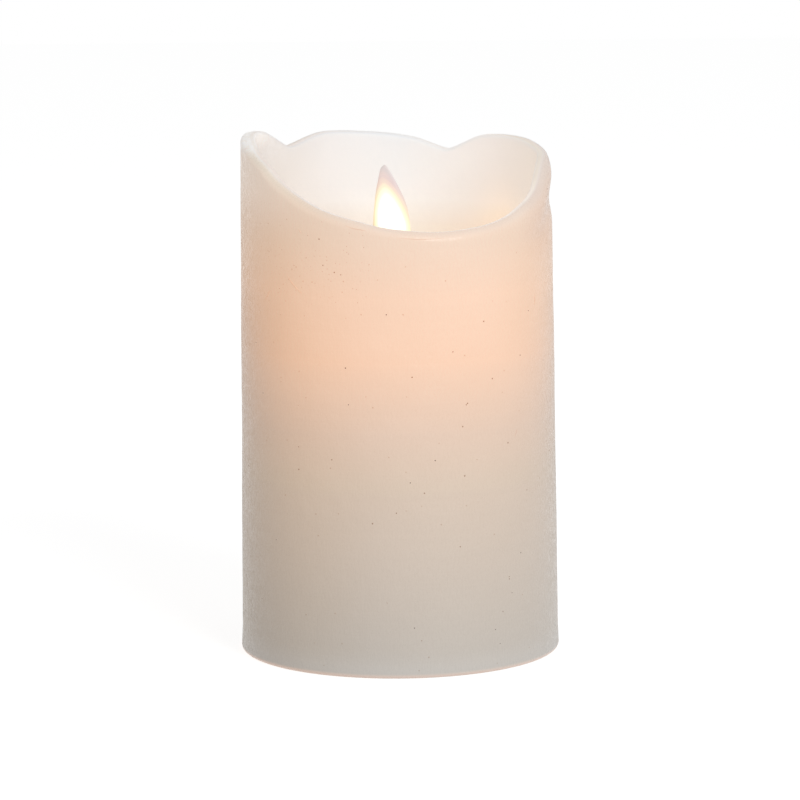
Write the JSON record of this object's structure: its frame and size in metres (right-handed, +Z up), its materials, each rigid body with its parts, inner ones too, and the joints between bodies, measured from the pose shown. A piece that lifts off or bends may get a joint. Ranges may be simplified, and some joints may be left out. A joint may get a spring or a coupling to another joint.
{
  "type": "flameless led candle",
  "caption": "Wax pillar candle with a scalloped melted rim, a swinging lit flame blade, a hidden coil drive, a battery bay and a slide switch underneath.",
  "frame": {"origin": "centre of the foot ring, on the surface that the candle stands on", "axes": "+Z up along the pillar, -Y towards the pictured front, +X to the pictured right"},
  "size_m": [0.076, 0.076, 0.1233],
  "materials": {
    "wax": "satin ivory wax, glowing faintly from inside",
    "base_plastic": "fine spark-eroded texture",
    "tower_plastic": "smooth moulded",
    "black_plastic": "smooth moulded",
    "flame": "satin translucent moulding, lit",
    "lamp_lens": "clear moulded lens, lit",
    "steel": "zinc plated",
    "nickel": "nickel plated",
    "copper": "enamelled copper wire",
    "circuit_board": "solder mask",
    "resistor_body": "lacquered",
    "cell_wrap": "shrink sleeve",
    "red_wire": "insulation",
    "black_wire": "insulation"
  },
  "bodies": {
    "candle": {"wax_shell": "wax", "battery_tub": "base_plastic", "battery_cell_a": "cell_wrap", "battery_cell_b": "cell_wrap", "positive_contact": "nickel", "negative_contact": "nickel", "bridge_contact": "nickel", "switch_case": "steel", "switch_board": "circuit_board", "switch_screw_1": "steel", "switch_screw_2": "steel", "control_board": "circuit_board", "board_screw_1": "steel", "board_screw_2": "steel", "controller_chip": "black_plastic", "capacitor": "black_plastic", "transistor": "black_plastic", "resistor_1": "resistor_body", "resistor_2": "resistor_body", "resistor_3": "resistor_body", "tower_left": "tower_plastic", "tower_right": "tower_plastic", "tower_screw_1": "steel", "tower_screw_2": "steel", "tower_screw_3": "steel", "tower_screw_4": "steel", "base_screw_1": "steel", "base_screw_2": "steel", "base_screw_3": "steel", "base_screw_4": "steel", "pivot_wire": "steel", "led_lamp": "lamp_lens", "led_holder": "tower_plastic", "coil_bobbin": "tower_plastic", "coil_winding": "copper", "coil_screw": "steel", "battery_lead_red": "red_wire", "battery_lead_black": "black_wire", "switch_wire_1": "red_wire", "switch_wire_2": "black_wire", "lamp_wire_1": "red_wire", "lamp_wire_2": "black_wire", "coil_wire_1": "red_wire", "coil_wire_2": "black_wire"},
    "flame": {"flame_blade": "flame", "pendulum_magnet": "nickel"},
    "switch_slider": {"switch_knob": "black_plastic"},
    "door": {"battery_door": "base_plastic"}
  },
  "joints": [
    {"name": "flame_swing", "type": "hinge", "parent": "candle", "child": "flame", "pos_m": [0, 0, 0.082], "axis": [0, 1, 0], "range_deg": [-12, 12]},
    {"name": "switch_slide", "type": "slide", "parent": "candle", "child": "switch_slider", "axis": [1, 0, 0], "range_m": [0, 0.004]},
    {"name": "battery_door_hinge", "type": "hinge", "parent": "candle", "child": "door", "pos_m": [-0.02625, 0, 0.0021], "axis": [0, 1, 0], "range_deg": [0, 90]}
  ]
}
